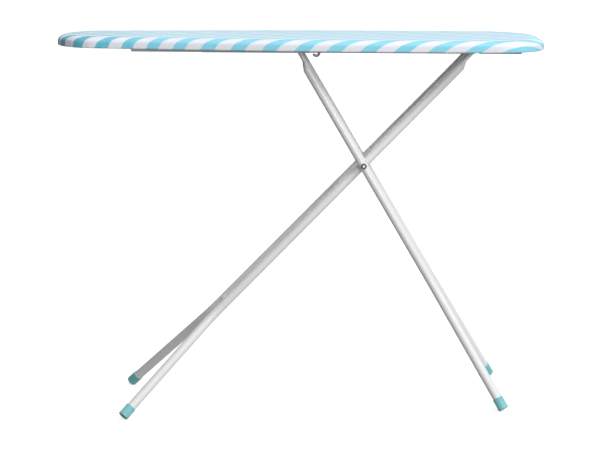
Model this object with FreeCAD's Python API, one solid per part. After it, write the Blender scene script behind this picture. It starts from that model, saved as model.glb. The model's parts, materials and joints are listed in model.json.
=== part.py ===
"""Folding ironing board: a padded, covered board on two crossed pairs of tube legs.

Millimetres, +Z up, origin on the floor under the middle of the board.
+X runs from the nose to the heel, and -Y is the side that the release hook is on.
The board's parts are made level and then tipped about the hinge rod, so the nose is a little higher.
"""
import FreeCAD, Part
import math
import os

V = FreeCAD.Vector
Y_AXIS = V(0, 1, 0)

# ---- board
board_length = 1112.0
board_width = 320.0
board_top = 844.5            # above the hinge rod
board_tilt = 1.6             # degrees, the nose a little higher than the heel
nose_radius = 105.0          # round nose
taper_angle = 6.5            # degrees, each side, from the nose to the full width
shoulder_radius = 2600.0     # soft turn from the taper to the parallel sides
heel_corner_radius = 120.0
cover_thickness = 1.5
cover_drop = 24.5            # from the ironing surface to the bottom of the cover's side
cover_edge_radius = 9.5
hem_width = 14.0             # the cover turns in under the rim by this much
pad_thickness = 8.0
sheet = 1.0                  # steel sheet of the panel, the rim and the rails

# ---- slots pressed through the panel, which let the steam out
slot_length = 32.0
slot_width = 9.0
slot_pitch = 47.0
slot_rows = (0.0, 28.0, 56.0, 112.0, 137.0)
slot_margin = 20.0           # least steel between a slot and the panel's edge
slot_end_margin = 50.0       # and at the nose and the heel

# ---- rails under the panel
rail_nose_end = -392.0
rail_heel_end = 501.0
rail_depth = 23.0
rail_web = 92.0              # from the middle plane to the outer face of the web
rail_flange = 12.0
rail_slant = 8.0             # the nose end of each rail is cut at a slant
tie_nose_x = -366.0
tie_heel_x = 484.0
tie_width = 22.0
tie_thickness = 2.0
rivet_radius = 2.0
rivet_head_radius = 4.2
rivet_head_height = 1.5
rivet_stations = (tie_nose_x, -310.0, 26.0, 150.0, 320.0, tie_heel_x)

# ---- legs: both pairs cross at the scissor pivot
cross_x = 138.8
cross_z = 557.0
rod_z = 817.5                # height of the hinge rod
angle_a = 60.95              # outer legs, from the floor
angle_b = 44.26              # inner legs, from the floor
tube_radius = 10.5
tube_wall = 0.9
pinch_shift = 4.5            # a pinched end lies this far to one side of its tube's axis
pinch_half_thickness = 6.0
pinch_half_width = 13.5
pinch_start = 52.0
pinch_end = 34.0
pinch_past_rod = 9.0
settling_rounds = 30
end_radius = 7.0             # the pinched ends are trimmed round about their rods
top_y_a = 50.0
cross_y_a = 66.0
foot_y_a = 185.0
bend_a = 632.0               # from the rod to the splay, along the leg
top_y_b = 36.0
cross_y_b = 38.0
foot_y_b = 180.0
bend_b = 872.0
bend_radius = 160.0
brace_radius = 7.0
brace_above_bend = 45.0
rod_radius = 4.0
running_gap = 0.05

# ---- foot caps
cap_radius = 12.0
cap_length = 28.5
cap_floor = 4.0
cap_flutes = 14
cap_flute_radius = 1.2
cap_flute_start = 3.0        # from the cap's mouth
cap_flute_stop = 4.0         # from the cap's end
cap_flute_out = 0.48         # a flute's axis lies this far outside the cap
cap_sink = 1.5               # depth of the flat that a cap stands on
cap_end_radius = 1.5

# ---- scissor rivets
shank_radius = 3.0
head_radius = 6.5
head_height = 2.8
head_gap = 0.5               # the splayed tube turns clear of the rivet's head
head_dimple_radius = 2.6
head_dimple_depth = 1.2
head_dimple_width = 1.2
head_edge_radius = 1.68
washer_inset = 1.0           # the washer between the tubes is smaller than they are

# ---- height rod and its sleeves, and the hinge rod's spacers
rod_end_y = 90.0
sleeve_radius = 5.0
sleeve_length = 9.0
spacer_radius = 5.3
spacer_gap = 0.6             # from the pinched tube to its spacer

# ---- release lever: a bent wire with a finger hook, and the toothed rack welded to it
shaft_x = 40.0
shaft_z = 822.5
wire_radius = 3.0
hook_y = 128.0
hook_bend = 6.5
hook_drop = 8.5
hook_sweep = 140.0
shaft_past_rail = 4.0
rack_thickness = 4.0
rack_depth = 10.6
rack_nose_end = -236.0
rack_hub_radius = 8.0
rack_rest_gap = 0.5
rack_shoulder = 10.0         # flat top past the first notch
rack_chamfer = 4.0
rack_above = 3.0             # from the rack's shoulder up to the lever's axis
tooth_pitch = 30.0
tooth_count = 8
notch_radius = 4.4
notch_depth = 7.0
clip_thickness = 1.6
clip_wall = 3.2
clip_gap = 0.3               # from the rail to the lever's push nuts

# ---- return spring of the lever
spring_x = 16.0
spring_radius = 4.0
spring_wire = 0.7
spring_turns = 5

parts_folder = "parts"
os.makedirs(parts_folder, exist_ok=True)

cover_bottom = board_top - cover_drop
pad_top = board_top - cover_thickness
panel_top = pad_top - pad_thickness
panel_bottom = panel_top - sheet
rail_bottom = panel_bottom - rail_depth


def save(name, shape):
    shape.exportStep(os.path.join(parts_folder, name + ".step"))
    print(name, len(shape.Solids), "solid(s)", round(shape.Volume / 1000.0, 2), "cm3", shape.isValid())


def rod_along_y(x, z, radius, y_from, y_to):
    return Part.makeCylinder(radius, y_to - y_from, V(x, y_from, z), Y_AXIS)


def ring_along_y(x, z, outer, inner, y_from, y_to):
    return rod_along_y(x, z, outer, y_from, y_to).cut(rod_along_y(x, z, inner, y_from, y_to))


def mirrored(shape):
    return shape.mirror(V(0, 0, 0), Y_AXIS)


def on_board(shape):
    """The board's parts are made level, then tipped about the hinge rod."""
    shape.rotate(hinge_rod, Y_AXIS, board_tilt)
    return shape


# ------------------------------------------------------------------ the board's outline
def outline_points(inset):
    """Tangent points of one half of the outline, moved in by `inset`."""
    tilt = math.radians(taper_angle)
    nose = nose_radius - inset
    half = board_width / 2 - inset
    nose_centre = -board_length / 2 + nose_radius
    tip = V(nose_centre - nose, 0, 0)
    nose_mid = V(nose_centre - nose * math.cos(math.pi / 4), nose * math.sin(math.pi / 4), 0)
    taper_start = V(nose_centre - nose * math.sin(tilt), nose * math.cos(tilt), 0)
    corner_x = taper_start.x + (half - taper_start.y) / math.tan(tilt)
    reach = (shoulder_radius - inset) * math.tan(tilt / 2)
    shoulder_start = V(corner_x - reach * math.cos(tilt), half - reach * math.sin(tilt), 0)
    shoulder_end = V(corner_x + reach, half, 0)
    shoulder_centre_y = half - (shoulder_radius - inset)
    shoulder_mid = V(shoulder_end.x - (shoulder_radius - inset) * math.sin(tilt / 2),
                     shoulder_centre_y + (shoulder_radius - inset) * math.cos(tilt / 2), 0)
    heel = heel_corner_radius - inset
    heel_centre = V(board_length / 2 - heel_corner_radius, board_width / 2 - heel_corner_radius, 0)
    heel_start = V(heel_centre.x, half, 0)
    heel_mid = heel_centre + V(heel * math.cos(math.pi / 4), heel * math.sin(math.pi / 4), 0)
    heel_end = V(board_length / 2 - inset, heel_centre.y, 0)
    return (tip, nose_mid, taper_start, shoulder_start, shoulder_mid, shoulder_end,
            heel_start, heel_mid, heel_end)


def flipped(point):
    return V(point.x, -point.y, 0)


def outline_face(inset):
    (tip, nose_mid, taper_start, shoulder_start, shoulder_mid, shoulder_end,
     heel_start, heel_mid, heel_end) = outline_points(inset)
    upper = [
        Part.Arc(tip, nose_mid, taper_start),
        Part.LineSegment(taper_start, shoulder_start),
        Part.Arc(shoulder_start, shoulder_mid, shoulder_end),
        Part.LineSegment(shoulder_end, heel_start),
        Part.Arc(heel_start, heel_mid, heel_end),
    ]
    lower = [
        Part.LineSegment(heel_end, flipped(heel_end)),
        Part.Arc(flipped(heel_end), flipped(heel_mid), flipped(heel_start)),
        Part.LineSegment(flipped(heel_start), flipped(shoulder_end)),
        Part.Arc(flipped(shoulder_end), flipped(shoulder_mid), flipped(shoulder_start)),
        Part.LineSegment(flipped(shoulder_start), flipped(taper_start)),
        Part.Arc(flipped(taper_start), flipped(nose_mid), tip),
    ]
    return Part.Face(Part.Wire([curve.toShape() for curve in upper + lower]))


def half_width_at(x, inset):
    """Half of the outline's width at a station along the board."""
    (tip, nose_mid, taper_start, shoulder_start, shoulder_mid, shoulder_end,
     heel_start, heel_mid, heel_end) = outline_points(inset)
    if x < taper_start.x:
        nose = nose_radius - inset
        across = x - (tip.x + nose)
        return math.sqrt(max(nose * nose - across * across, 0.0))
    if x < shoulder_start.x:
        return taper_start.y + (x - taper_start.x) * math.tan(math.radians(taper_angle))
    if x > heel_start.x:
        heel = heel_corner_radius - inset
        across = x - heel_start.x
        return heel_end.y + math.sqrt(max(heel * heel - across * across, 0.0))
    soft_taper = math.tan(math.radians(taper_angle / 2))
    return min(shoulder_end.y, shoulder_start.y + (x - shoulder_start.x) * soft_taper)


def board_slab(inset, z_from, z_to, edge_radius=0.0):
    """A slab with the board's outline, and rounded top edges where a radius is given."""
    slab = outline_face(inset).extrude(V(0, 0, z_to - z_from))
    slab.translate(V(0, 0, z_from))
    if edge_radius:
        top_edges = [edge for edge in slab.Edges if edge.BoundBox.ZMin > z_to - 0.01]
        slab = slab.makeFillet(edge_radius, top_edges)
    return slab


def make_cover():
    outer = board_slab(0.0, cover_bottom, board_top, cover_edge_radius)
    inner = board_slab(cover_thickness, cover_bottom - 1.0, pad_top, cover_edge_radius - cover_thickness)
    hem = board_slab(0.0, cover_bottom - cover_thickness, cover_bottom)
    hem = hem.cut(board_slab(hem_width, cover_bottom - 2 * cover_thickness, cover_bottom + 1.0))
    return outer.cut(inner).fuse(hem).removeSplitter()


def make_pad():
    """The slab starts below the panel's top, so that it is tall enough to round, and is then cut there."""
    deep = cover_edge_radius
    pad = board_slab(cover_thickness, panel_top - deep, pad_top, cover_edge_radius - cover_thickness)
    low_corner = V(-board_length, -board_width, panel_top - 2 * deep)
    return pad.cut(Part.makeBox(2 * board_length, 2 * board_width, 2 * deep, low_corner))


def steam_slot(x, y):
    """A round-ended cutter, as three pieces that go through the panel."""
    half_run = (slot_length - slot_width) / 2
    under = panel_top - 3 * sheet
    body = Part.makeBox(2 * half_run, slot_width, 4 * sheet, V(x - half_run, y - slot_width / 2, under))
    nose_end = Part.makeCylinder(slot_width / 2, 4 * sheet, V(x - half_run, y, under))
    heel_end = Part.makeCylinder(slot_width / 2, 4 * sheet, V(x + half_run, y, under))
    return [body, nose_end, heel_end]


def make_panel():
    panel = board_slab(cover_thickness + sheet, panel_bottom, panel_top)
    cutters = []
    count = int((board_length / 2) // slot_pitch)
    for step in range(-count, count + 1):
        for row, row_y in enumerate(slot_rows):
            x = step * slot_pitch + (slot_pitch / 2 if row % 2 else 0.0)
            room = min(half_width_at(x - slot_length / 2, 0.0), half_width_at(x + slot_length / 2, 0.0))
            if row_y + slot_width / 2 + slot_margin > room:
                continue
            if abs(x) > board_length / 2 - slot_end_margin:
                continue
            for y in {row_y, -row_y}:
                cutters += steam_slot(x, y)
    for x in rivet_stations:
        for side in (-1, 1):
            under = V(x, side * rivet_y, panel_top - 3 * sheet)
            cutters.append(Part.makeCylinder(rivet_radius, 4 * sheet, under))
    return panel.cut(cutters)


def make_rim():
    """The panel's edge turned down, as a wall under the cover."""
    ring = board_slab(cover_thickness, cover_bottom, panel_top)
    return ring.cut(board_slab(cover_thickness + sheet, cover_bottom - 1.0, panel_top + 1.0))


# ------------------------------------------------------------------ rails and ties
rivet_y = rail_web - rail_flange / 2


def make_rail():
    """The far rail: a channel that opens towards the middle of the board."""
    inner_edge = rail_web - rail_flange
    corners = [
        V(rail_nose_end, inner_edge, panel_bottom),
        V(rail_nose_end, rail_web, panel_bottom),
        V(rail_nose_end, rail_web, rail_bottom),
        V(rail_nose_end, inner_edge, rail_bottom),
        V(rail_nose_end, inner_edge, rail_bottom + sheet),
        V(rail_nose_end, rail_web - sheet, rail_bottom + sheet),
        V(rail_nose_end, rail_web - sheet, panel_bottom - sheet),
        V(rail_nose_end, inner_edge, panel_bottom - sheet),
    ]
    profile = Part.Face(Part.makePolygon(corners + corners[:1]))
    rail = profile.extrude(V(rail_heel_end - rail_nose_end, 0, 0))
    wedge_corners = [
        V(rail_nose_end - 1, 0, rail_bottom - 1),
        V(rail_nose_end + rail_slant, 0, rail_bottom - 1),
        V(rail_nose_end - 1, 0, panel_bottom - sheet),
    ]
    wedge = Part.Face(Part.makePolygon(wedge_corners + wedge_corners[:1])).extrude(V(0, 2 * rail_web, 0))
    holes = [
        rod_along_y(hinge_x, rod_z, rod_radius, 0, 2 * rail_web),
        rod_along_y(shaft_x, shaft_z, wire_radius + running_gap, 0, 2 * rail_web),
    ]
    for x in rivet_stations:
        holes.append(Part.makeCylinder(rivet_radius, 2 * sheet, V(x, rivet_y, panel_bottom - 1.5 * sheet)))
    return rail.cut([wedge] + holes)


def make_tie(x):
    """A flat bar that joins the rails, tucked under their upper flanges."""
    half_span = rail_web - sheet
    z = panel_bottom - sheet - tie_thickness
    tie = Part.makeBox(tie_width, 2 * half_span, tie_thickness, V(x - tie_width / 2, -half_span, z))
    holes = [Part.makeCylinder(rivet_radius, 3 * tie_thickness, V(x, side * rivet_y, z - tie_thickness))
             for side in (-1, 1)]
    return tie.cut(holes)


def make_rail_rivets():
    rivets = []
    for x in rivet_stations:
        under = panel_bottom - sheet
        if x in (tie_nose_x, tie_heel_x):
            under -= tie_thickness
        for side in (-1, 1):
            shank = Part.makeCylinder(rivet_radius, panel_top - under, V(x, side * rivet_y, under))
            head = Part.makeCylinder(rivet_head_radius, rivet_head_height,
                                     V(x, side * rivet_y, under - rivet_head_height))
            rivets.append(shank.fuse(head).removeSplitter())
    return Part.makeCompound(rivets)


# ------------------------------------------------------------------ leg geometry in the side view
slope_a = math.radians(angle_a)
slope_b = math.radians(angle_b)
rise = rod_z - cross_z
run_a = V(math.cos(slope_a), 0, -math.sin(slope_a))        # down the outer legs, towards the heel
run_b = V(-math.cos(slope_b), 0, -math.sin(slope_b))       # down the inner legs, towards the nose
lift_a = V(math.sin(slope_a), 0, math.cos(slope_a))        # square to the legs, on their upper side
lift_b = V(-math.sin(slope_b), 0, math.cos(slope_b))
cross = V(cross_x, 0, cross_z)
arm_b = (rise - pinch_shift * lift_b.z) / math.sin(slope_b)    # hinge rod to scissor pivot, along the leg
hinge_rod = cross - run_b * arm_b + lift_b * pinch_shift
hinge_x = hinge_rod.x
tilt = math.radians(board_tilt)
rail_normal = V(math.sin(tilt), 0, math.cos(tilt))
from_hinge = cross + lift_a * pinch_shift - hinge_rod
arm_a = from_hinge.dot(rail_normal) / run_a.dot(rail_normal)
height_rod = hinge_rod + from_hinge - run_a * arm_a
level_rod_x = hinge_x - (height_rod - hinge_rod).Length        # before the board is tipped


class Leg:
    """One tube of the far side, as stations along its straight side-view line."""

    def __init__(self, rod, run, lift, arm, top_y, cross_y, foot_y, bend):
        self.run = run
        self.lift = lift
        self.arm = arm
        self.rod = rod
        self.start = rod - lift * pinch_shift
        self.spread = (cross_y - top_y) / arm
        self.top_y = top_y
        self.foot_y = foot_y
        self.bend = bend
        bend_y = top_y + self.spread * bend
        full = (self.start.z - cap_radius / 2) / -run.z
        # The splay depends on the leg's length and the length on the splay, so each mends the other.
        for attempt in range(settling_rounds):
            splay = V(run.x * (full - bend), foot_y - bend_y, run.z * (full - bend)).normalize()
            edge_drop = cap_radius * math.sqrt(1 - splay.z * splay.z)
            full = (self.start.z - edge_drop + cap_sink) / -run.z
        self.full = full
        self.splay = splay
        self.foot = self.point(full)
        self.straight = (self.point(bend) - self.point(0.0)).normalize()

    def point(self, station):
        y = self.top_y + self.spread * station
        if station > self.bend:
            bend_y = self.top_y + self.spread * self.bend
            share = (station - self.bend) / (self.full - self.bend)
            y = bend_y + (self.foot_y - bend_y) * share
        place = self.start + self.run * station
        return V(place.x, y, place.z)


leg_a = Leg(height_rod, run_a, lift_a, arm_a, top_y_a, cross_y_a, foot_y_a, bend_a)
leg_b = Leg(hinge_rod, run_b, lift_b, arm_b, top_y_b, cross_y_b, foot_y_b, bend_b)


def tube_path(leg, past_end):
    top = leg.point(pinch_start)
    corner = leg.point(leg.bend)
    turn = leg.straight.getAngle(leg.splay)
    reach = bend_radius * math.tan(turn / 2)
    into = corner - leg.straight * reach
    out = corner + leg.splay * reach
    bisector = (leg.splay - leg.straight).normalize()
    crown = corner + bisector * (bend_radius / math.cos(turn / 2) - bend_radius)
    end = leg.foot - leg.splay * past_end
    edges = [Part.LineSegment(top, into), Part.Arc(into, crown, out), Part.LineSegment(out, end)]
    return Part.Wire([edge.toShape() for edge in edges])


def swept_round(leg, radius, past_end):
    circle = Part.Wire(Part.Circle(leg.point(pinch_start), leg.straight, radius).toShape())
    return tube_path(leg, past_end).makePipeShell([circle], True, False)


def pinch_section(leg, station, shift, half_thickness, half_width):
    """A closed oval square to the leg, wide along Y and thin in the side view."""
    centre = leg.point(station) + leg.lift * shift
    across = leg.straight.cross(leg.lift).normalize()
    oval = Part.Ellipse(centre + across * half_width, centre + leg.lift * half_thickness, centre)
    return Part.Wire(oval.toShape())


def round_section(leg, station):
    """The tube's own circle, starting at the same side as the ovals do."""
    centre = leg.point(station)
    across = leg.straight.cross(leg.lift).normalize()
    side = across * tube_radius
    ring = Part.Circle(centre + side, centre + leg.lift * tube_radius, centre - side)
    return Part.Wire(ring.toShape())


def past_round_end(leg):
    """All that lies beyond the rod and outside the tube's round end."""
    reach = 3 * end_radius
    beyond = Part.makeBox(reach, 2 * top_y_a, 2 * reach, V(-reach, 0, -reach))
    beyond.rotate(V(0, 0, 0), Y_AXIS, math.degrees(math.atan2(-leg.run.z, leg.run.x)))
    beyond.translate(leg.rod)
    return beyond.cut(rod_along_y(leg.rod.x, leg.rod.z, end_radius, 0, 2 * top_y_a))


def make_tube(leg):
    outer = swept_round(leg, tube_radius, cap_floor)
    inner = swept_round(leg, tube_radius - tube_wall, cap_floor - tube_wall)
    near_round = round_section(leg, pinch_start)
    near_flat = pinch_section(leg, pinch_end, pinch_shift, pinch_half_thickness, pinch_half_width)
    tip_flat = pinch_section(leg, -pinch_past_rod, pinch_shift, pinch_half_thickness, pinch_half_width)
    pinch = Part.makeLoft([near_round, near_flat, tip_flat], True, True)
    tube = outer.cut(inner).fuse(pinch)
    rod_hole = rod_along_y(leg.rod.x, leg.rod.z, rod_radius + hole_gap(leg), 0, 2 * top_y_a)
    shank_hole = rod_along_y(cross_x, cross_z, shank_radius + shank_gap(leg), 0, 2 * cross_y_a)
    return tube.cut([rod_hole, shank_hole, past_round_end(leg)])


def hole_gap(leg):
    """The inner legs turn on their rod, and the outer legs are fixed to theirs."""
    return running_gap if leg is leg_b else 0.0


def shank_gap(leg):
    """The scissor rivets are fixed in the inner legs, and the outer legs turn on them."""
    return running_gap if leg is leg_a else 0.0


def make_brace(leg):
    station = leg.bend - brace_above_bend
    place = leg.point(station)
    bar = rod_along_y(place.x, place.z, brace_radius, -place.y, place.y)
    bar = bar.cut(rod_along_y(place.x, place.z, brace_radius - tube_wall, -place.y, place.y))
    far_tube = swept_round(leg, tube_radius, cap_floor)
    return bar.cut([far_tube, mirrored(far_tube)])


def make_cap(leg):
    axis = leg.splay
    mouth = leg.foot - axis * cap_length
    body = Part.makeCylinder(cap_radius, cap_length, mouth, axis)
    end_edges = [edge for edge in body.Edges if edge.BoundBox.Center.distanceToPoint(leg.foot) < 1.0]
    body = body.makeFillet(cap_end_radius, end_edges)
    socket = Part.makeCylinder(tube_radius, cap_length - cap_floor, mouth, axis)
    side = axis.cross(Y_AXIS).normalize()
    up = axis.cross(side).normalize()
    cutters = [socket]
    flute_length = cap_length - cap_flute_start - cap_flute_stop
    for flute in range(cap_flutes):
        turn = 2 * math.pi * flute / cap_flutes
        out = side * math.cos(turn) + up * math.sin(turn)
        start = mouth + axis * cap_flute_start + out * (cap_radius + cap_flute_out)
        cutters.append(Part.makeCylinder(cap_flute_radius, flute_length, start, axis))
    block = 2 * cap_length
    low_corner = V(leg.foot.x - block, leg.foot.y - block, -block)
    floor_block = Part.makeBox(2 * block, 2 * block, block, low_corner)
    return body.cut(cutters + [floor_block])


# ------------------------------------------------------------------ scissor pivot
def make_scissor_rivet():
    """Far rivet: shank through both tubes, a head outside each."""
    inner_face = cross_y_b - tube_radius
    outer_face = cross_y_a + tube_radius
    shank = rod_along_y(cross_x, cross_z, shank_radius, inner_face, outer_face)
    inner_head = rod_along_y(cross_x, cross_z, head_radius, inner_face - head_height, inner_face)
    head_face = outer_face + head_gap
    outer_head = rod_along_y(cross_x, cross_z, head_radius, head_face, head_face + head_height)
    neck = rod_along_y(cross_x, cross_z, shank_radius, outer_face - head_gap, head_face + head_gap)
    outer_rim = [edge for edge in outer_head.Edges if edge.BoundBox.YMin > head_face + head_height - 0.01]
    outer_head = outer_head.makeFillet(head_edge_radius, outer_rim)
    dimple_from = head_face + head_height - head_dimple_depth
    dimple = ring_along_y(cross_x, cross_z, head_dimple_radius + head_dimple_width, head_dimple_radius,
                          dimple_from, dimple_from + 2 * head_dimple_depth)
    return shank.fuse([inner_head, outer_head, neck]).cut(dimple).removeSplitter()


def make_scissor_spacer():
    """A washer between the two tubes. The splayed outer tube has pressed its own hollow into it."""
    washer = ring_along_y(cross_x, cross_z, tube_radius - washer_inset, shank_radius + running_gap,
                          cross_y_b + tube_radius + 2 * running_gap, cross_y_a - tube_radius)
    return washer.cut(swept_round(leg_a, tube_radius, cap_floor))


# ------------------------------------------------------------------ hinge and height rods
def make_hinge_spacer():
    y_from = top_y_b + pinch_half_width + spacer_gap
    return ring_along_y(hinge_x, rod_z, spacer_radius, rod_radius, y_from, rail_web - sheet)


def make_push_nuts(x, z, radius, y_face):
    """A pair of pressed rings that hold a rod in the rails, one outside each."""
    nuts = []
    for side in (-1, 1):
        outer_face = side * (y_face + clip_thickness)
        y_from, y_to = sorted((side * y_face, outer_face))
        nuts.append(ring_along_y(x, z, radius + clip_wall, radius, y_from, y_to))
    return Part.makeCompound(nuts)


# ------------------------------------------------------------------ release lever
def make_lever_wire():
    """Straight shaft along Y, turned down at the near side into a finger hook."""
    shaft_end = V(shaft_x, rail_web + shaft_past_rail, shaft_z)
    turn_start = V(shaft_x, -hook_y + hook_bend, shaft_z)
    turn_mid = V(shaft_x, -hook_y + hook_bend * (1 - math.sin(math.pi / 4)),
                 shaft_z - hook_bend * (1 - math.cos(math.pi / 4)))
    turn_end = V(shaft_x, -hook_y, shaft_z - hook_bend)
    curl_start = V(shaft_x, -hook_y, shaft_z - hook_drop)
    curl_centre = V(shaft_x - hook_bend, -hook_y, shaft_z - hook_drop)

    def curl_point(degrees):
        turn = math.radians(degrees)
        return curl_centre + V(hook_bend * math.cos(turn), 0, -hook_bend * math.sin(turn))

    edges = [
        Part.LineSegment(shaft_end, turn_start),
        Part.Arc(turn_start, turn_mid, turn_end),
        Part.LineSegment(turn_end, curl_start),
        Part.Arc(curl_start, curl_point(hook_sweep / 2), curl_point(hook_sweep)),
    ]
    path = Part.Wire([edge.toShape() for edge in edges])
    section = Part.Wire(Part.Circle(shaft_end, Y_AXIS, wire_radius).toShape())
    wire = path.makePipeShell([section], True, False)
    tip = Part.makeSphere(wire_radius, curl_point(hook_sweep))
    return wire.fuse(tip).removeSplitter()


def make_rack():
    """A plate of notches that open upwards, under the height rod's path."""
    top = rod_z - rod_radius - rack_rest_gap
    bottom = top - rack_depth
    corners = [
        V(rack_nose_end, 0, top - rack_chamfer),
        V(rack_nose_end + rack_chamfer, 0, top),
        V(level_rod_x + rack_shoulder, 0, top),
        V(spring_x - 1.5 * spring_radius, 0, shaft_z - rack_above),
        V(shaft_x, 0, shaft_z - rack_above),
        V(shaft_x + rack_chamfer, 0, shaft_z - 2 * rack_above),
        V(shaft_x - 2 * rack_shoulder, 0, bottom),
        V(rack_nose_end + rack_shoulder, 0, bottom),
        V(rack_nose_end, 0, bottom + rack_chamfer),
    ]
    plate = Part.Face(Part.makePolygon(corners + corners[:1])).extrude(V(0, rack_thickness, 0))
    plate.translate(V(0, -rack_thickness / 2, 0))
    hub = rod_along_y(shaft_x, shaft_z, rack_hub_radius, -rack_thickness, rack_thickness)
    rack = plate.fuse(hub)
    through = 3 * rack_thickness
    cutters = [rod_along_y(shaft_x, shaft_z, wire_radius, -through, through)]
    for tooth in range(tooth_count):
        x = level_rod_x - tooth * tooth_pitch
        seat_z = top - notch_depth + notch_radius
        cutters.append(rod_along_y(x, seat_z, notch_radius, -through, through))
        mouth = V(x - notch_radius, -through, seat_z)
        cutters.append(Part.makeBox(2 * notch_radius, 2 * through, notch_depth, mouth))
    return rack.cut(cutters).removeSplitter()


def make_lever_spring():
    """Close coil between the panel and the rack's shoulder."""
    low = shaft_z - rack_above + spring_wire
    high = panel_bottom - spring_wire
    helix = Part.makeHelix((high - low) / spring_turns, high - low, spring_radius)
    section = Part.Wire(Part.Circle(V(spring_radius, 0, 0), Y_AXIS, spring_wire).toShape())
    coil = Part.Wire(helix.Edges).makePipeShell([section], True, True)
    coil.translate(V(spring_x, 0, low))
    return coil


# ------------------------------------------------------------------ write every piece
def main():
    save("cover", on_board(make_cover()))
    save("pad", on_board(make_pad()))
    save("board_panel", on_board(make_panel()))
    save("edge_rim", on_board(make_rim()))
    rail = make_rail()
    save("rail_near", on_board(mirrored(rail)))
    save("rail_far", on_board(rail))
    save("rail_tie_nose", on_board(make_tie(tie_nose_x)))
    save("rail_tie_heel", on_board(make_tie(tie_heel_x)))
    save("rail_rivets", on_board(make_rail_rivets()))
    rod_end = rail_web + clip_thickness
    save("hinge_rod", rod_along_y(hinge_x, rod_z, rod_radius, -rod_end, rod_end))
    save("hinge_push_nuts", make_push_nuts(hinge_x, rod_z, rod_radius, rail_web))
    spacer = make_hinge_spacer()
    save("hinge_spacer_near", on_board(mirrored(spacer)))
    save("hinge_spacer_far", on_board(spacer))
    save("lever_spring", on_board(make_lever_spring()))

    for letter, leg in (("a", leg_a), ("b", leg_b)):
        tube = make_tube(leg)
        cap = make_cap(leg)
        save("leg_" + letter + "_far", tube)
        save("leg_" + letter + "_near", mirrored(tube))
        save("foot_cap_" + letter + "_far", cap)
        save("foot_cap_" + letter + "_near", mirrored(cap))
        save("leg_brace_" + letter, make_brace(leg))

    rivet = make_scissor_rivet()
    save("scissor_rivet_far", rivet)
    save("scissor_rivet_near", mirrored(rivet))
    washer = make_scissor_spacer()
    save("scissor_spacer_far", washer)
    save("scissor_spacer_near", mirrored(washer))

    save("height_rod", rod_along_y(height_rod.x, height_rod.z, rod_radius, -rod_end_y, rod_end_y))
    sleeve = ring_along_y(height_rod.x, height_rod.z, sleeve_radius, rod_radius,
                          rod_end_y - sleeve_length, rod_end_y)
    save("rod_sleeve_far", sleeve)
    save("rod_sleeve_near", mirrored(sleeve))

    save("release_lever", on_board(make_lever_wire()))
    save("height_rack", on_board(make_rack()))
    save("lever_clips", on_board(make_push_nuts(shaft_x, shaft_z, wire_radius, rail_web + clip_gap)))

    print("height rod", height_rod)
    print("hinge rod", hinge_rod)
    print("cross", cross)
    print("feet", leg_a.foot, leg_b.foot)


main()
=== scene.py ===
# %% [markdown]
# # A folding ironing board
# This lesson dresses a finished CAD model in Blender. The legs, rails, rods and caps keep the shapes that
# the CAD gives them and only get finishes. The cloth cover and the felt under it are soft, so they are
# modelled here. The frame is loaded first.
# %% Load the frame
import json
import math

import bpy
import numpy as np
from mathutils import Matrix, Vector

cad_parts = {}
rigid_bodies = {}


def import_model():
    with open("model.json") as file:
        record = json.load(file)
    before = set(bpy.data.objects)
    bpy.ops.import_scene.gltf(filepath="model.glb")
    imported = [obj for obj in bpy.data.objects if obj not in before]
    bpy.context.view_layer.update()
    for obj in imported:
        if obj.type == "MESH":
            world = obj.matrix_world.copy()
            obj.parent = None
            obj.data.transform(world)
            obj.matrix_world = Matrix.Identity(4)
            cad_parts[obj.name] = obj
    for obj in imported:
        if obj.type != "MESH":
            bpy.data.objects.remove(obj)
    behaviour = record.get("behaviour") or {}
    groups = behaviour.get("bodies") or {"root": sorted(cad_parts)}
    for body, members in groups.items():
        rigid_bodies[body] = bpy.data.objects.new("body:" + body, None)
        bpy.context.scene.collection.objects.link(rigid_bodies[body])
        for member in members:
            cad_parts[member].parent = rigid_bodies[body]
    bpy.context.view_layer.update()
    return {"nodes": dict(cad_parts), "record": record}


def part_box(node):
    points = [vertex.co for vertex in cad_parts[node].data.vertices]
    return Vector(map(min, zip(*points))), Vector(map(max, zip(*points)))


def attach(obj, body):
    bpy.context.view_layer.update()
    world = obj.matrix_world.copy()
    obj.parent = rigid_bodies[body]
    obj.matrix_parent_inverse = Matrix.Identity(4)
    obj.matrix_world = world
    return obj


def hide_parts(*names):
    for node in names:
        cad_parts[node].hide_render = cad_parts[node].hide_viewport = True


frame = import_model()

nodes = frame["nodes"]

# %% [markdown]
# ## The camera
# Something this long is seen best from across the studio through a long lens, so that its near and far
# edges stay almost parallel. The camera stands a little above the board and looks slightly down, and is
# rolled by about a degree, so that the sloping board looks nearly level. Its three axes are worked out from
# those angles and written into one matrix.
# %% Place the camera
camera_place = Vector((-0.0720, -5.5, 1.2999))
look_down = math.radians(9.172)
look_aside = math.radians(0.650)
camera_roll = math.radians(-1.164)

ahead = Vector((math.sin(look_aside) * math.cos(look_down),
                math.cos(look_aside) * math.cos(look_down),
                -math.sin(look_down)))
level_right = Vector((math.cos(look_aside), -math.sin(look_aside), 0.0))
level_up = level_right.cross(ahead)
right = level_right * math.cos(camera_roll) + level_up * math.sin(camera_roll)
up = level_up * math.cos(camera_roll) - level_right * math.sin(camera_roll)

lens = bpy.data.cameras.new("long_lens")
lens.sensor_width = 36.0
lens.lens = 143.3
camera = bpy.data.objects.new("camera", lens)
bpy.context.scene.collection.objects.link(camera)
camera.matrix_world = (Matrix.Translation(camera_place)
                       @ Matrix((right, up, -ahead)).transposed().to_4x4())
bpy.context.scene.camera = camera
print("camera", round(camera_place.length, 2), "m away")

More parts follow.
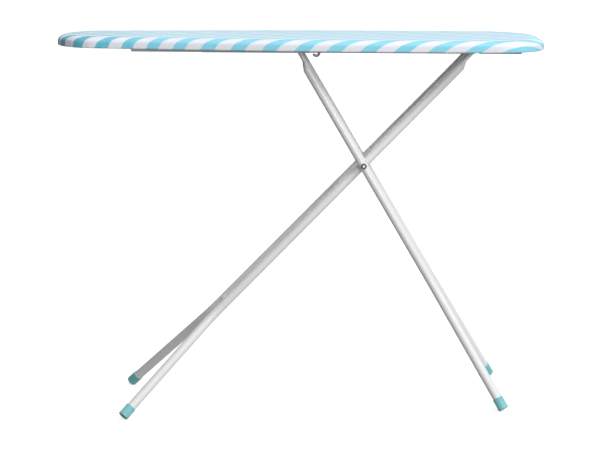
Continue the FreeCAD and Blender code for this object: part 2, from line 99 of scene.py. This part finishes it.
# %% [markdown]
# ## The floor and the studio
# The stage is one big sheet of pale paper that lies on the floor and rolls up behind the object, so no
# horizon line shows. A plane is added, its back edge is extruded upwards and the fold is bevelled round.
# The paper throws no light back on the object: the room's light, further down, stands for that.
# %% Roll out the paper
def deselect_all():
    """Leaves nothing selected, since an operator works on all that is."""
    for thing in bpy.context.view_layer.objects:
        thing.select_set(False)


paper_half = 14.0
paper_rise = 9.0
paper_fold = 3.0
just_off_floor = 0.1


def select_edges(thing, chosen):
    """Selects the edges whose two ends both pass a test, and leaves all else unselected."""
    bpy.ops.object.mode_set(mode="EDIT")
    bpy.ops.mesh.select_all(action="DESELECT")
    bpy.ops.object.mode_set(mode="OBJECT")
    for edge in thing.data.edges:
        edge.select = all(chosen(thing.data.vertices[end].co) for end in edge.vertices)
    bpy.ops.object.mode_set(mode="EDIT")


deselect_all()
bpy.ops.mesh.primitive_plane_add(size=2 * paper_half, location=(0, 0, 0))
paper = bpy.context.object
paper.name = "studio_paper"
select_edges(paper, lambda place: place.y > 0)
bpy.ops.mesh.extrude_edges_move(TRANSFORM_OT_translate={"value": (0, 0, paper_rise)})
select_edges(paper, lambda place: place.y > 0 and place.z < just_off_floor)
bpy.ops.mesh.bevel(offset=paper_fold, segments=16, affect="EDGES")
bpy.ops.object.mode_set(mode="OBJECT")
bpy.ops.object.shade_smooth()
paper.visible_diffuse = False
paper.visible_glossy = False
print("paper", len(paper.data.polygons), "faces")

# %% [markdown]
# Four soft boxes light it: a broad one overhead, a key high on the right of the camera, and two farther
# off, in front and behind, whose light arrives weaker. The key is steep, so the board shades the legs' tops
# and whatever stands behind it.
# %% Hang the lights
def soft_box(name, place, target, width, height, watts):
    """A rectangular area light that faces a point."""
    data = bpy.data.lights.new(name, "AREA")
    data.shape = "RECTANGLE"
    data.size, data.size_y = width, height
    data.energy = watts
    box = bpy.data.objects.new(name, data)
    bpy.context.scene.collection.objects.link(box)
    box.location = place
    box.rotation_mode = "QUATERNION"
    box.rotation_quaternion = (Vector(target) - Vector(place)).to_track_quat("-Z", "Y")
    return box


soft_box("top_box", (0.6, 0.2, 4.2), (0, 0, 0.6), 3.0, 2.0, 38)
soft_box("key_box", (1.9, -2.6, 3.6), (0, 0, 0.5), 1.8, 1.6, 80)
soft_box("fill_box", (1.2, -5.4, 1.5), (0, 0, 0.5), 2.2, 1.6, 105)
soft_box("back_box", (-1.6, 5.0, 2.6), (0, 0, 0.5), 2.2, 1.8, 45)
bpy.context.scene.view_settings.view_transform = "Standard"

# %% [markdown]
# ## Writing materials as sums
# Shader maths reads best as ordinary expressions. `Signal` wraps one socket, and each sum on it adds a
# Math node. `Nodes` holds the nodes of a material or a world, and has a single way to add any other node:
# its type, its settings, which are set first, and the values or links of its sockets. `Finish` is the
# nodes of one material, with the few combinations that every finish here uses.
# %% The helpers
def plug(tree, slot, value):
    """Links a signal to a socket, or writes a plain value into it."""
    if isinstance(value, Signal):
        tree.links.new(value.socket, slot)
    else:
        slot.default_value = value


class Signal:
    """One output of a node that Python can do sums with."""

    def __init__(self, tree, socket):
        self.tree = tree
        self.socket = socket

    def maths(self, operation, *values):
        """Adds one Math node."""
        node = self.tree.nodes.new("ShaderNodeMath")
        node.operation = operation
        for slot, value in zip(node.inputs, values):
            plug(self.tree, slot, value)
        return Signal(self.tree, node.outputs[0])

    def __add__(self, other):
        return self.maths("ADD", self, other)

    def __sub__(self, other):
        return self.maths("SUBTRACT", self, other)

    def __rsub__(self, other):
        return self.maths("SUBTRACT", other, self)

    def __mul__(self, other):
        return self.maths("MULTIPLY", self, other)

    def __truediv__(self, other):
        return self.maths("DIVIDE", self, other)

    __radd__ = __add__
    __rmul__ = __mul__

    def fraction(self):
        """What is left past the whole part."""
        return self.maths("FRACT", self)

    def size(self):
        """The value without its sign."""
        return self.maths("ABSOLUTE", self)

    def sine(self):
        return self.maths("SINE", self)

    def within(self, low, high):
        """0 below low, 1 above high, and an even ramp between them."""
        return self.maths("MINIMUM", self.maths("MAXIMUM", (self - low) / (high - low), 0.0), 1.0)


class Nodes:
    """The nodes of a material or a world."""

    def __init__(self, owner):
        owner.use_nodes = True
        self.tree = owner.node_tree

    def node(self, kind, settings=None, inputs=None, output=0):
        """Adds a node, sets it, fills its sockets and gives back one of its outputs."""
        made = self.tree.nodes.new(kind)
        for key, value in (settings or {}).items():
            setattr(made, key, value)
        for slot, value in (inputs or {}).items():
            plug(self.tree, made.inputs[slot], value)
        return Signal(self.tree, made.outputs[output])

    def parts(self, vector):
        """The x, y and z of a vector."""
        first = self.node("ShaderNodeSeparateXYZ", inputs={0: vector})
        return [Signal(self.tree, socket) for socket in first.socket.node.outputs]


class Finish(Nodes):
    """A Principled material under construction."""

    def __init__(self, name, **constants):
        self.material = bpy.data.materials.new(name)
        super().__init__(self.material)
        self.surface = self.tree.nodes["Principled BSDF"]
        for socket, value in constants.items():
            self.surface.inputs[socket.replace("_", " ")].default_value = value

    def place(self):
        """Where the point is on the object, in metres."""
        return self.node("ShaderNodeTexCoord", output="Object")

    def noise(self, scale, detail=2.0, vector=None):
        """Noise between 0 and 1, with a feature about every 1/scale metres."""
        return self.node("ShaderNodeTexNoise", inputs={"Vector": vector or self.place(), "Scale": scale,
                                                       "Detail": detail})

    def blend(self, share, first, second):
        """A colour from first at 0 to second at 1."""
        return self.node("ShaderNodeMix", {"data_type": "RGBA"}, {0: share, 6: first, 7: second}, output=2)

    def feed(self, socket, value):
        """Gives a value or a signal to one of the surface's sockets."""
        plug(self.tree, self.surface.inputs[socket], value)

    def bump(self, height, depth, strength=1.0):
        """Raises the surface by height times depth, in metres."""
        self.feed("Normal", self.node("ShaderNodeBump", inputs={"Height": height, "Distance": depth,
                                                                "Strength": strength}))


print("helpers ready")

# %% [markdown]
# ## The light of the room
# A white tube in an evenly white room has no edges. With one side of the room darker, the tubes and the
# cloth get a grey side. So the room's light grows from left to right and from the floor up. The direction
# that a ray leaves in is what Generated gives in a world's nodes.
# %% Shade the room
room_middle = 0.36
room_to_right = 0.24
room_to_top = 0.10

room = bpy.data.worlds.new("studio_white")
room_nodes = Nodes(room)
to_right, _, to_top = room_nodes.parts(room_nodes.node("ShaderNodeTexCoord", output="Generated"))
background = room_nodes.tree.nodes["Background"]
background.inputs["Color"].default_value = (1.0, 1.0, 1.0, 1.0)
plug(room_nodes.tree, background.inputs["Strength"],
     to_right * room_to_right + to_top * room_to_top + room_middle)
bpy.context.scene.world = room
print("room light", room_middle, "at the middle")

# %% [markdown]
# ## The paper's finish
# Studio paper is matt, and its white is faintly clouded. In a studio it has lamps of its own. Here it
# glows by itself instead, and more where it rises behind the object, past the reach of the soft boxes.
# %% White paper
glow_from = 0.5
glow_to = 9.0

paper_finish = Finish("studio_paper", Emission_Strength=1.0, Roughness=0.95)
depth = paper_finish.parts(paper_finish.place())[1]
paper_finish.feed("Base Color", paper_finish.blend(
    paper_finish.noise(3.0), (0.60, 0.60, 0.60, 1), (0.63, 0.63, 0.63, 1)))
paper_finish.feed("Emission Color", paper_finish.blend(
    depth.within(glow_from, glow_to), (0.62, 0.62, 0.62, 1), (0.90, 0.90, 0.90, 1)))
paper.data.materials.append(paper_finish.material)
print("paper finish", paper_finish.material.name)

# %% [markdown]
# ## Powder-coated tube and painted steel
# Powder coat is baked plastic powder. It is glossy but never mirror flat: it has a fine orange peel about
# a millimetre across, and its clear coat thins a little where it has been rubbed. One function makes the
# white of the legs, the greys of the panel and the rails, and the brown of the dipped wire.
# %% Paints
def powder_coat(name, colour, rubbed, roughness, peel, coat):
    """A paint of two close colours, a roughness, a peel's depth in metres and a weight of clear coat."""
    finish = Finish(name, Coat_Roughness=0.12, IOR=1.5)
    wear = finish.noise(14.0, 4.0).within(0.35, 0.75)
    finish.feed("Base Color", finish.blend(wear * 0.5, colour, rubbed))
    finish.feed("Roughness", finish.noise(60.0, 3.0) * 0.12 + (roughness - 0.06))
    finish.feed("Coat Weight", wear * -0.2 + coat)
    finish.bump(finish.noise(750.0, 1.0) + finish.noise(90.0, 1.0) * 1.5, peel)
    return finish.material


tube_white = powder_coat(
    "gloss_white_powder", (0.80, 0.80, 0.805, 1), (0.74, 0.74, 0.745, 1), 0.34, 0.00006, 0.35)
panel_grey = powder_coat("panel_powder", (0.66, 0.67, 0.68, 1), (0.58, 0.59, 0.60, 1), 0.42, 0.00009, 0.2)
rail_grey = powder_coat("rail_powder", (0.42, 0.42, 0.435, 1), (0.34, 0.34, 0.35, 1), 0.40, 0.00008, 0.2)
wire_brown = powder_coat("dipped_wire", (0.27, 0.235, 0.23, 1), (0.33, 0.29, 0.285, 1), 0.36, 0.00012, 0.3)
print("paints", tube_white.name, panel_grey.name, rail_grey.name, wire_brown.name)

# %% [markdown]
# ## Bare metal
# The rods and their nuts, the clips, the spring and the rail rivets are zinc plated. Plating is metal with
# a cloudy gloss, and drawn rod has fine scratches along it. The noise is squeezed across the rod, so that
# it draws out into scratches. The scissor rivets are blackened, and the middle of their heads carries a
# painted highlight: a round patch of bright colour about the rivets' common axis.
# %% Plated steel
# The radius of the painted highlight in the middle of the rivet heads.
highlight_radius = 0.0030
rivet_low, rivet_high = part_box("scissor_rivet_near")
rivet_middle = (rivet_low + rivet_high) / 2


def plated(name, colour, dull, roughness, squeeze, highlight_axis=None):
    """A metal of two close colours, with a painted highlight, a bright round spot about a line along y, where
    one is given.
    """
    finish = Finish(name, Metallic=1.0)
    stretched = finish.node("ShaderNodeMapping", inputs={"Vector": finish.place(), "Scale": squeeze})
    clouds = finish.noise(220.0, 5.0).within(0.3, 0.7)
    scratches = finish.noise(1.0, 3.0, stretched)
    tone = finish.blend(clouds, colour, dull)
    if highlight_axis is not None:
        # A painted highlight: the middle of each rivet head is coloured bright.
        x, _, z = finish.parts(finish.place())
        aside = x - highlight_axis.x
        above = z - highlight_axis.z
        off_highlight = (aside * aside + above * above).within((highlight_radius * 0.7) ** 2, highlight_radius ** 2)
        tone = finish.blend(off_highlight, (0.86, 0.83, 0.83, 1), tone)
    finish.feed("Base Color", tone)
    finish.feed("Roughness", clouds * 0.14 + scratches * 0.16 + (roughness - 0.12))
    finish.bump(scratches, 0.00003)
    return finish.material


zinc = plated("zinc_plate", (0.66, 0.66, 0.67, 1), (0.52, 0.52, 0.54, 1), 0.30, (2600.0, 300.0, 2600.0))
rivet_metal = plated("dark_rivet", (0.17, 0.13, 0.135, 1), (0.11, 0.085, 0.09, 1), 0.32,
                     (900.0, 900.0, 900.0), rivet_middle)
print("metals", zinc.name, rivet_metal.name)

# %% [markdown]
# ## Moulded plastics
# The foot caps are soft vinyl, slightly see-through at the surface, with a satin skin and faint cloudy
# marks from the mould. The sleeves and spacers are natural nylon, which is milky.
# %% Vinyl and nylon
def moulded(name, colour, worn, roughness, depth, milky):
    """A plastic of two close colours, a roughness, a grain's depth in metres and a share of milkiness."""
    finish = Finish(name, IOR=1.48, Subsurface_Weight=milky, Subsurface_Radius=(0.006, 0.008, 0.008),
                    Subsurface_Scale=0.5)
    marks = finish.noise(35.0, 4.0).within(0.3, 0.7)
    grain = finish.noise(1400.0, 2.0)
    finish.feed("Base Color", finish.blend(marks, colour, worn))
    finish.feed("Roughness", marks * 0.08 + grain * 0.06 + (roughness - 0.07))
    finish.bump(grain + marks * 1.5, depth)
    return finish.material


cap_vinyl = moulded("teal_vinyl", (0.25, 0.60, 0.61, 1), (0.20, 0.53, 0.55, 1), 0.40, 0.00004, 0.10)
nylon = moulded("natural_nylon", (0.74, 0.73, 0.69, 1), (0.70, 0.68, 0.63, 1), 0.38, 0.00003, 0.25)
print("plastics", cap_vinyl.name, nylon.name)

# %% [markdown]
# ## The board's own level
# The board slopes by 1.6 degrees, the nose higher. It is easier to model a cover on a level board
# and tip it at the end. The slope is read from the ironing surface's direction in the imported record, and
# the pivot is the hinge rod, whose middle the frame gives.
# %% Read the slope
surface = frame["record"]["mounts"][0]
slope = math.atan2(surface["axis"][0], surface["axis"][2])
rod_low, rod_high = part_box("hinge_rod")
pivot = (rod_low + rod_high) / 2
tip = Matrix.Translation(pivot) @ Matrix.Rotation(slope, 4, "Y") @ Matrix.Translation(-pivot)
level_surface = tip.inverted() @ Vector(surface["pos_m"])
board_top = level_surface.z
print("slope", round(math.degrees(slope), 2), "degrees, level top at", round(board_top, 4))

# %% [markdown]
# ## The board's edge
# Seen from above, the edge is three arcs joined by straight runs: the round nose, a long soft shoulder and
# the heel's corner. The far half is walked at an even spacing and then mirrored. Each station also keeps
# the direction that points straight out of the board, because the cover's section is laid along it.
# %% Walk round the edge
cover_low, cover_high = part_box("cover")
board_length = 1.112
board_width = cover_high.y - cover_low.y
nose_radius = 0.105
taper = math.radians(6.5)
shoulder_radius = 2.6
heel_radius = 0.120
station_spacing = 0.0042
nose_x = -board_length / 2 + nose_radius
heel_x = board_length / 2 - heel_radius


def arcs_of_edge():
    """The far half's arcs as centre x, centre y, radius, first and last angle."""
    half = board_width / 2
    taper_x = nose_x - nose_radius * math.sin(taper)
    taper_y = nose_radius * math.cos(taper)
    shoulder_x = taper_x + (half - taper_y) / math.tan(taper) + shoulder_radius * math.tan(taper / 2)
    return [(nose_x, 0.0, nose_radius, math.pi, math.pi / 2 + taper),
            (shoulder_x, half - shoulder_radius, shoulder_radius, math.pi / 2 + taper, math.pi / 2),
            (heel_x, half - heel_radius, heel_radius, math.pi / 2, 0.0)]


def straight_run(start, end):
    """The stations strictly between two others."""
    steps = max(2, round(np.hypot(*(end - start)[:2]) / station_spacing))
    share = np.linspace(0, 1, steps + 1)[1:-1, None]
    return start + (end - start) * share


def half_edge():
    """Stations along the far half as rows of x, y, outward x, outward y."""
    rows = []
    for centre_x, centre_y, radius, first, last in arcs_of_edge():
        steps = max(3, round(abs(first - last) * radius / station_spacing))
        angles = np.linspace(first, last, steps + 1)
        arc = np.stack([centre_x + radius * np.cos(angles), centre_y + radius * np.sin(angles),
                        np.cos(angles), np.sin(angles)], axis=1)
        if rows:
            rows.append(straight_run(rows[-1][-1], arc[0]))
        rows.append(arc)
    heel_middle = np.array([board_length / 2, 0.0, 1.0, 0.0])
    rows.append(straight_run(rows[-1][-1], heel_middle))
    rows.append(heel_middle[None])
    return np.concatenate(rows)


far_half = half_edge()
near_half = far_half[-2:0:-1] * np.array([1, -1, 1, -1])
edge = np.concatenate([far_half, near_half])
places, outward = edge[:, :2], edge[:, 2:]
stations = len(edge)
walk = np.concatenate([[0.0], np.cumsum(np.hypot(*np.diff(places, axis=0).T))])
print(stations, "stations round", round(float(walk[-1]), 3), "m")

# %% [markdown]
# ## The cover's section
# A cover is a flat piece of cotton pulled down over the padding and drawn in under the board by a cord in
# its hem. Its section therefore turns a soft corner at the top, where the padding is squeezed thin, runs
# down the side, turns tightly under the steel rim, and ends in a rolled casing. The section is a list of
# points. Each says how much of the soft corner's width it is in by, how far it is in from the edge besides,
# and how far below the top. The corner is wider round the nose and the heel, where the pull is strongest.
# %% Draw the section
corner_drop = 0.0130
corner_on_sides = 0.0200
corner_on_ends = 0.0250
side_height = 0.0260
under_radius = 0.0028
hem_reach = 0.0132
casing_radius = 0.0017


def turn(centre_in, centre_down, radius, first, last, steps):
    """Points of an arc in the section. Angle 0 points up and 90 points out."""
    angles = np.radians(np.linspace(first, last, steps + 1))
    return [(0.0, centre_in - radius * math.sin(a), centre_down - radius * math.cos(a)) for a in angles]


def shares(count):
    """The first, second and so on of a count of even shares, up to one."""
    return np.linspace(0, 1, count + 1)[1:]


corner_angles = np.radians(np.linspace(0, 90, 11))
straight_side = side_height - under_radius - corner_drop
section = [(1 - math.sin(a), 0.0, corner_drop * (1 - math.cos(a))) for a in corner_angles]
section += [(0.0, 0.0, corner_drop + share * straight_side) for share in shares(4)]
side_points = len(section)
section += turn(under_radius, side_height - under_radius, under_radius, 90, 180, 5)[1:]
section += [(0.0, under_radius + share * (hem_reach - under_radius), side_height) for share in shares(4)]
section += turn(hem_reach, side_height - casing_radius, casing_radius, 180, 450, 9)[1:]
section = np.array(section)

corner_across = corner_on_sides + (corner_on_ends - corner_on_sides) * np.abs(outward[:, 0]) ** 2
inset_steps = np.diff(section[:, 0] * corner_on_sides + section[:, 1])
run = np.concatenate([[0.0], np.cumsum(np.hypot(inset_steps, np.diff(section[:, 2])))])
print(len(section), "section points,", round(float(run[-1]) * 1000, 1), "mm of cloth past the corner")

# %% [markdown]
# ## Gathers and puckers
# Cloth that is drawn round a curve has too much length at its hem, so it folds: strongly round the nose and
# the heel's corners, hardly at all along the straight sides. Each fold is a wave along the edge. Two or
# three wavelengths are added, with phases drawn from one fixed seed, so that no two folds are alike.
# %% Work out the folds
chance = np.random.default_rng(7)
least_gather = 0.22
nose_gather_reach = 0.16
corner_gather_start = 0.03
corner_gather_reach = 0.05
calm_heel_half = 0.02
calm_heel_reach = 0.06
least_at_heel = 0.25
whole_turn = 6.28
wander_turns = 7
wander_size = 6


def waves(wavelengths, sharpness=1.0):
    """An uneven wave along the edge, which closes on itself, between about -1 and 1."""
    total = np.zeros(stations)
    length = walk[-1] + station_spacing
    round_trip = 2 * np.pi * walk / length
    for wavelength in wavelengths:
        turns = round(length / wavelength)
        wander = chance.uniform(0.2, 0.5) * np.sin(
            round_trip * wander_turns + chance.uniform(0, whole_turn))
        total += np.sin(round_trip * turns + wander * wander_size + chance.uniform(0, whole_turn))
    total /= len(wavelengths)
    return np.sign(total) * np.abs(total) ** sharpness


round_the_nose = np.clip((nose_x + nose_gather_reach - places[:, 0]) / nose_gather_reach, 0, 1)
past_side = np.clip((places[:, 0] - heel_x + corner_gather_start) / corner_gather_reach, 0, 1)
off_middle = np.clip((np.abs(places[:, 1]) - calm_heel_half) / calm_heel_reach, least_at_heel, 1)
gather = least_gather + (1 - least_gather) * np.maximum(round_the_nose, past_side * off_middle)
folds = waves((0.0125, 0.0185, 0.031), 0.8)
puckers = waves((0.017, 0.026), 1.0)
slack = waves((0.11, 0.19, 0.31), 1.0)
print("gathers from", round(float(gather.min()), 2), "to", round(float(gather.max()), 2))

# %% [markdown]
# ## Sewing the cover
# The mesh is rings of points. From the middle of the board the top grows outwards ring by ring, and then
# the section's points follow. Where the two sides meet on the middle line their points fall together and
# are merged, so the top is closed. Every point also stores where it lay on the flat cloth: the stripes
# and the weave are drawn there, so they run on over the edge and down the side as printed cloth does.
# A cover is pulled on by hand, so its print is shifted a little along the board, most of all at the nose.
# The first list below says where along the board, and the second how far. The print is also stretched on
# its way down the side.
# %% Lay out the rings
top_rings = 30
ring_crowding = 1.25
crown = 0.0008
ripple_height = 0.00022
side_bulge = 0.0004
pucker_depth = 0.0007
slack_depth = 0.0003
nose_fullness = 0.0020
hem_lift = 0.0010
hem_draw = 0.0012
heel_fan_reach = 0.16

fan_end = board_length / 2 - heel_fan_reach
inner_edge = places - outward * corner_across[:, None]
across = np.where(np.abs(outward[:, 1]) > 1e-6, outward[:, 1], 1e-6)
middle_x = np.clip(inner_edge[:, 0] - outward[:, 0] / across * inner_edge[:, 1], nose_x, fan_end)
middle_x[places[:, 0] > heel_x] = fan_end
middle = np.stack([middle_x, np.zeros(stations)], axis=1)

# The top's ripples are ten centimetres long or more: the numbers in their sines are radians per metre.
points, flat = [], []
for ring in range(top_rings):
    share = 1 - (1 - ring / top_rings) ** ring_crowding
    spot = middle + (inner_edge - middle) * share
    ripple = np.sin(spot[:, 0] * 47 + spot[:, 1] * 61) * np.sin(spot[:, 1] * 38 - spot[:, 0] * 9)
    height = board_top + (crown + ripple_height * ripple) * (1 - share ** 2)
    points.append(np.column_stack([spot, height]))
    flat.append(spot)

# How much cloth lies past the edge at each point of the section, before it is stretched down the side, and
# then how much of the print each metre down the side takes: least at the nose and most at the heel.
cloth_bend = 0.0041
print_in_middle = 0.50
more_print_per_metre = 0.43
heel_end_from = 0.485
more_print_at_heel_end = 25.0
past_edge = np.maximum(section[:, 2] - cloth_bend, 0)
past_edge[side_points:] = past_edge[side_points - 1] + run[side_points:] - run[side_points - 1]
print_down_side = (print_in_middle + more_print_per_metre * places[:, 0]
                   + more_print_at_heel_end * np.maximum(places[:, 0] - heel_end_from, 0))
nose_bulge = nose_fullness * np.clip((nose_x - places[:, 0]) / nose_radius, 0, 1) ** 2

for (soft, inset, drop), lap in zip(section, past_edge):
    way_down = np.clip(drop / side_height, 0, 1)
    side = np.clip((drop - corner_drop * 0.3) / corner_drop, 0, 1)
    under = np.clip((inset - under_radius * 0.5) / hem_reach, 0, 1)
    bulge = side_bulge * math.sin(math.pi * way_down) + nose_bulge * side
    push = bulge + pucker_depth * puckers * gather * way_down ** 2 + slack_depth * slack * side
    push = push * (1 - under)
    lift = hem_lift * (folds * 0.8 + 0.6) * gather * under
    draw_in = hem_draw * folds * gather * under
    total_inset = soft * corner_across + inset
    spot = places - outward * (total_inset - push + draw_in)[:, None]
    points.append(np.column_stack([spot, board_top - drop + lift]))
    flat.append(places + outward * (lap * print_down_side - soft * corner_across)[:, None])

rings = len(points)
points, flat = np.concatenate(points), np.concatenate(flat)
pulled_at = (-0.55, -0.50, -0.45, -0.34, -0.25, -0.15, 0.0, 0.16, 0.30, 0.45)
pulled_by = (0.034, -0.012, -0.019, 0.005, 0.016, 0.013, 0.002, 0.006, 0.016, 0.012)
flat[:, 0] += np.interp(points[:, 0], pulled_at, pulled_by)
print(rings, "rings,", len(points), "points")

# %% [markdown]
# The rings are turned into a mesh, the doubled points on the middle line are merged, and the flat
# positions go into a UV map, one entry per corner of each face.
# %% Make the cover
def ring_faces():
    """One four-sided face between each two stations of each two rings."""
    faces = []
    for ring in range(rings - 1):
        for station in range(stations):
            following = (station + 1) % stations
            here, there = ring * stations, (ring + 1) * stations
            faces.append((here + station, there + station, there + following, here + following))
    return faces


def tipped(thing):
    """Tips a level mesh with the board; the object itself stays at the origin."""
    thing.data.transform(tip)
    thing.data.update()
    return thing


def only(thing):
    """Makes one object the selected and active one."""
    deselect_all()
    thing.select_set(True)
    bpy.context.view_layer.objects.active = thing


def merge_doubles(thing, distance):
    """Merges points that lie together, and leaves the mesh in edit mode with all of it selected."""
    only(thing)
    bpy.ops.object.mode_set(mode="EDIT")
    bpy.ops.mesh.select_all(action="SELECT")
    bpy.ops.mesh.remove_doubles(threshold=distance)


cloth_thickness = 0.0007
cloth_mesh = bpy.data.meshes.new("cotton_cover")
cloth_mesh.from_pydata(points.tolist(), [], ring_faces())
corner_points = np.zeros(len(cloth_mesh.loops), np.int32)
cloth_mesh.loops.foreach_get("vertex_index", corner_points)
cloth_uv = cloth_mesh.uv_layers.new(name="flat_cloth")
cloth_uv.data.foreach_set("uv", flat[corner_points].astype(np.float32).ravel())
cover = bpy.data.objects.new("cotton_cover", cloth_mesh)
bpy.context.scene.collection.objects.link(cover)
merge_doubles(cover, 0.00005)
bpy.ops.mesh.normals_make_consistent(inside=False)
bpy.ops.object.mode_set(mode="OBJECT")
top_face = max(cover.data.polygons, key=lambda face: face.center.z)
if top_face.normal.z < 0:
    cover.data.flip_normals()
tipped(cover)

weight = cover.modifiers.new("weight", "SOLIDIFY")
weight.thickness = cloth_thickness
weight.offset = -1.0
bpy.ops.object.modifier_apply(modifier="weight")
bpy.ops.object.shade_smooth()
print("cover", len(cover.data.polygons), "faces")

# %% [markdown]
# ## Printed cotton
# The stripes run across the cloth at a slant. On the flat cloth a stripe is a straight band, so a point's
# stripe number is a sum of its two coordinates, and the rest of that number past its whole part says how
# far into the stripe it is. Near the nose the blue is darker: painted shade, since the gathered nose faces
# away from the key light. That painted shade goes by the place along the board, not on the cloth, and is
# patchy. The weave is plain: warp and weft threads cross twice a millimetre, and the bump follows them.
# %% Print the stripes
stripe_period = 0.035
stripe_slant = math.radians(27.0)
stripe_share = 0.47
first_stripe = 45.291
print_edge = 0.012
ink_bleed = 0.035
lengthwise_pull = 0.925
# Where the painted shade near the nose is full, and where it has gone, along the board.
full_nose_shade_to = -0.46
nose_shade_gone_at = -0.33
thread = 0.0005


def striped_cotton():
    """Blue and white stripes on the flat cloth, under a plain weave."""
    finish = Finish("striped_cotton", Sheen_Weight=0.16, Sheen_Roughness=0.4, Sheen_Tint=(0.80, 0.92, 1.0, 1),
                    IOR=1.38)
    flat_place = finish.node("ShaderNodeUVMap", {"uv_map": "flat_cloth"})
    length, width, _ = finish.parts(flat_place)

    along = length * (lengthwise_pull * math.sin(stripe_slant) / stripe_period)
    aside = width * (math.cos(stripe_slant) / stripe_period)
    bleed = (finish.noise(420.0, 3.0, flat_place) - 0.5) * ink_bleed
    number = along - aside + first_stripe + bleed
    distance = (number.fraction() - 0.5).size()
    blue = 1.0 - distance.within(stripe_share / 2 - print_edge, stripe_share / 2 + print_edge)

    faded = finish.noise(9.0, 3.0).within(0.3, 0.7)
    aqua = finish.blend(faded, (0.20, 0.62, 0.79, 1), (0.24, 0.66, 0.82, 1))
    # Painted shade: the blue is darkened towards the nose, in patches, into a deeper blue.
    painted_nose_shade = 1.0 - finish.parts(finish.place())[0].within(full_nose_shade_to, nose_shade_gone_at)
    patchy_nose_shade = finish.noise(55.0, 3.0).within(0.25, 0.60)
    aqua = finish.blend(painted_nose_shade * (0.55 + patchy_nose_shade * 0.45), aqua, (0.075, 0.46, 0.62, 1))
    white = finish.blend(faded, (0.79, 0.80, 0.86, 1), (0.75, 0.77, 0.83, 1))
    print_colour = finish.blend(blue, white, aqua)
    slub = finish.noise(1.0, 2.0, finish.node("ShaderNodeMapping", inputs={
        "Vector": flat_place, "Scale": (60.0, 2400.0, 1.0)}))
    finish.feed("Base Color", finish.blend(slub * 0.10, print_colour, (0.92, 0.94, 0.95, 1)))
    finish.feed("Roughness", slub * 0.15 + 0.72)

    turns = 2 * math.pi / thread
    warp = (length * turns).sine()
    weft = (width * turns).sine()
    finish.bump(warp * weft * 0.5 + slub * 0.8, 0.00006, 0.6)
    return finish.material


cotton = striped_cotton()
cover.data.materials.clear()
cover.data.materials.append(cotton)
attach(cover, "board")
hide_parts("cover")

# %% [markdown]
# ## The felt under the cover
# Under the cotton lies a sheet of needled felt. It is a soft solid: its edges are rounded by the pull of the
# cover and its faces are never quite even. A copy of the CAD pad is merged and remeshed into small even
# faces, smoothed, and then its points are moved a few tenths of a millimetre by slow waves and drawn in a
# little from the cover. Near the edge they are pressed down under the cover's soft corner. A cloth
# simulation would add nothing, because the steel and the tight cover hold the felt flat on both sides.
# %% Make the felt
voxel = 0.005
clear_of_cloth = 0.0012
felt_wave = 0.00025
felt_squeeze = 0.0004
felt_size = 0.998

felt = bpy.data.objects.new("felt_pad", nodes["pad"].data.copy())
bpy.context.scene.collection.objects.link(felt)
merge_doubles(felt, 0.00002)
bpy.ops.object.mode_set(mode="OBJECT")
felt.data.transform(tip.inverted())

remesh = felt.modifiers.new("even_faces", "REMESH")
remesh.mode = "VOXEL"
remesh.voxel_size = voxel
bpy.ops.object.modifier_apply(modifier="even_faces")
soften = felt.modifiers.new("soften", "SMOOTH")
soften.factor = 0.5
soften.iterations = 4
bpy.ops.object.modifier_apply(modifier="soften")

spots = np.zeros(len(felt.data.vertices) * 3, np.float32)
felt.data.vertices.foreach_get("co", spots)
spots = spots.reshape(-1, 3).astype(float)
pad_low, pad_high = spots.min(axis=0), spots.max(axis=0)
height_share = (spots[:, 2] - pad_low[2]) / (pad_high[2] - pad_low[2])
uneven = np.sin(spots[:, 0] * 71 + np.sin(spots[:, 1] * 53) * 2) * np.sin(spots[:, 1] * 83)
spots[:, 2] += (felt_wave * uneven - felt_squeeze) * height_share
spots[:, :2] *= felt_size
for row, spot in enumerate(spots):
    nearest = np.argmin(np.hypot(*(places - spot[:2]).T))
    inset = float((places[nearest] - spot[:2]) @ outward[nearest])
    reach = np.clip(1 - inset / corner_across[nearest], 0, 1)
    ceiling = board_top - clear_of_cloth - corner_drop * (1 - math.sqrt(1 - reach ** 2))
    spots[row, 2] = min(spot[2], ceiling)
felt.data.vertices.foreach_set("co", spots.astype(np.float32).ravel())
tipped(felt)
bpy.ops.object.shade_smooth()
print("felt", len(felt.data.polygons), "faces")

# %% [markdown]
# Felt is a mat of loose fibres: next to no gloss, a speckle of lighter and darker fibre, and a surface that
# is rough to a depth of a quarter of a millimetre.
# %% Felt finish
felt_finish = Finish("needled_felt", Sheen_Weight=0.4, Sheen_Roughness=0.6)
fibres = felt_finish.noise(900.0, 5.0)
flecks = felt_finish.noise(160.0, 3.0).within(0.4, 0.7)
felt_finish.feed("Base Color", felt_finish.blend(flecks, (0.70, 0.68, 0.62, 1), (0.60, 0.58, 0.53, 1)))
felt_finish.feed("Roughness", fibres * 0.1 + 0.86)
felt_finish.bump(fibres, 0.00025)
felt.data.materials.clear()
felt.data.materials.append(felt_finish.material)
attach(felt, "board")
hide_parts("pad")
print("felt finish", felt_finish.material.name)

# %% [markdown]
# ## Finishes for the hard parts
# The other pieces keep their CAD shape. Each material slot in the record names a finish, and every node
# gets the one that its slot asks for.
# %% Dress the CAD nodes
finish_of_slot = {"panel_paint": panel_grey, "rail_steel": rail_grey, "bright_steel": zinc,
                  "rivet_steel": rivet_metal, "lever_steel": wire_brown, "white_tube": tube_white,
                  "nylon": nylon, "cap_plastic": cap_vinyl, "striped_cloth": cotton,
                  "pad_foam": felt_finish.material}
for subpart in frame["record"]["subparts"]:
    thing = nodes[subpart["node"]]
    thing.data.materials.clear()
    thing.data.materials.append(finish_of_slot[subpart["material_slot"]])
print(len(nodes), "nodes dressed")

# %% [markdown]
# ## Size
# The visual model must fill the CAD model's box and not much more.
# %% Bring the scene up to date
bpy.context.view_layer.update()
